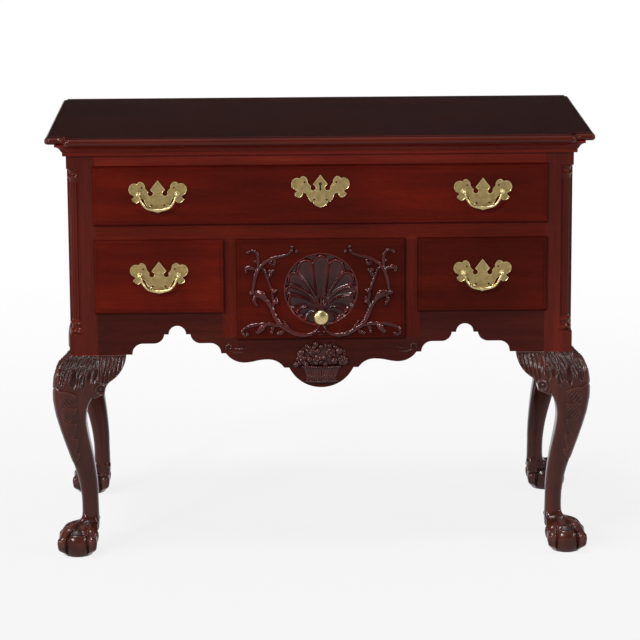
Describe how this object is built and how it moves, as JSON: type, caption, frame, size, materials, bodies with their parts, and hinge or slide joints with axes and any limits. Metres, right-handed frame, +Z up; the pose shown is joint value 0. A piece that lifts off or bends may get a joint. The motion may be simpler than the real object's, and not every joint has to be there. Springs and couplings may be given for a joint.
{
  "type": "lowboy",
  "caption": "Carved mahogany lowboy: lipped drawers with brass bail pulls, shell-carved centre drawer, fluted corner columns, scrolled apron, cabriole legs on ball-and-claw feet.",
  "frame": {"origin": "on the floor, under the middle of the top", "axes": "+X to the right as seen from the front, +Y towards the back (the drawers open towards -Y), +Z up"},
  "size_m": [0.974, 0.515, 0.768],
  "materials": {
    "case_mahogany": "polished, dark red-brown",
    "top_mahogany": "polished, dark",
    "figured_mahogany": "polished, straight figured",
    "carved_mahogany": "polished, carved",
    "poplar": "bare, planed",
    "brass": "lacquered, slightly aged"
  },
  "bodies": {
    "case": {"apron": "carved_mahogany", "back_panel": "poplar", "bed_moulding": "case_mahogany", "column_bases": "case_mahogany", "column_capitals": "case_mahogany", "drawer_blade": "case_mahogany", "front_left_knee_brackets": "carved_mahogany", "front_left_leg": "carved_mahogany", "front_right_knee_brackets": "carved_mahogany", "front_right_leg": "carved_mahogany", "left_column": "case_mahogany", "left_divider": "case_mahogany", "left_partition": "poplar", "left_side_panel": "case_mahogany", "lower_runners": "poplar", "partition_runners": "poplar", "rear_knee_brackets": "carved_mahogany", "rear_left_leg": "carved_mahogany", "rear_right_leg": "carved_mahogany", "right_column": "case_mahogany", "right_divider": "case_mahogany", "right_partition": "poplar", "right_side_panel": "case_mahogany", "top_board": "top_mahogany", "top_glue_blocks": "poplar", "top_rail": "case_mahogany", "top_rail_core": "poplar", "upper_runners": "poplar"},
    "long_drawer": {"escutcheon": "brass", "lock_case": "brass", "long_drawer_back": "poplar", "long_drawer_bottom": "poplar", "long_drawer_front": "figured_mahogany", "long_drawer_sides": "poplar", "upper_left_handle_plate": "brass", "upper_left_handle_posts": "brass", "upper_right_handle_plate": "brass", "upper_right_handle_posts": "brass"},
    "left_drawer": {"left_drawer_back": "poplar", "left_drawer_bottom": "poplar", "left_drawer_front": "figured_mahogany", "left_drawer_sides": "poplar", "lower_left_handle_plate": "brass", "lower_left_handle_posts": "brass"},
    "centre_drawer": {"centre_drawer_back": "poplar", "centre_drawer_bottom": "poplar", "centre_drawer_front": "figured_mahogany", "centre_drawer_sides": "poplar", "shell_knob": "brass"},
    "right_drawer": {"lower_right_handle_plate": "brass", "lower_right_handle_posts": "brass", "right_drawer_back": "poplar", "right_drawer_bottom": "poplar", "right_drawer_front": "figured_mahogany", "right_drawer_sides": "poplar"},
    "upper_left_bail": {"upper_left_handle_bail": "brass"},
    "upper_right_bail": {"upper_right_handle_bail": "brass"},
    "lower_left_bail": {"lower_left_handle_bail": "brass"},
    "lower_right_bail": {"lower_right_handle_bail": "brass"},
    "lock_bolt": {"lock_bolt": "brass"}
  },
  "joints": [
    {"name": "long_drawer_slide", "type": "slide", "parent": "case", "child": "long_drawer", "axis": [0, -1, 0], "range_m": [0, 0.3]},
    {"name": "left_drawer_slide", "type": "slide", "parent": "case", "child": "left_drawer", "axis": [0, -1, 0], "range_m": [0, 0.3]},
    {"name": "centre_drawer_slide", "type": "slide", "parent": "case", "child": "centre_drawer", "axis": [0, -1, 0], "range_m": [0, 0.3]},
    {"name": "right_drawer_slide", "type": "slide", "parent": "case", "child": "right_drawer", "axis": [0, -1, 0], "range_m": [0, 0.3]},
    {"name": "upper_left_bail_swing", "type": "hinge", "parent": "long_drawer", "child": "upper_left_bail", "pos_m": [-0.28825, -0.2422, 0.66445], "axis": [-1, 0, 0], "range_deg": [-16, 180]},
    {"name": "upper_right_bail_swing", "type": "hinge", "parent": "long_drawer", "child": "upper_right_bail", "pos_m": [0.28825, -0.2422, 0.66445], "axis": [-1, 0, 0], "range_deg": [-16, 180]},
    {"name": "lower_left_bail_swing", "type": "hinge", "parent": "left_drawer", "child": "lower_left_bail", "pos_m": [-0.28825, -0.2422, 0.51795], "axis": [-1, 0, 0], "range_deg": [-16, 180]},
    {"name": "lower_right_bail_swing", "type": "hinge", "parent": "right_drawer", "child": "lower_right_bail", "pos_m": [0.28825, -0.2422, 0.51795], "axis": [-1, 0, 0], "range_deg": [-16, 180]},
    {"name": "lock_bolt_throw", "type": "slide", "parent": "long_drawer", "child": "lock_bolt", "axis": [0, 0, 1], "range_m": [0, 0.009]}
  ]
}
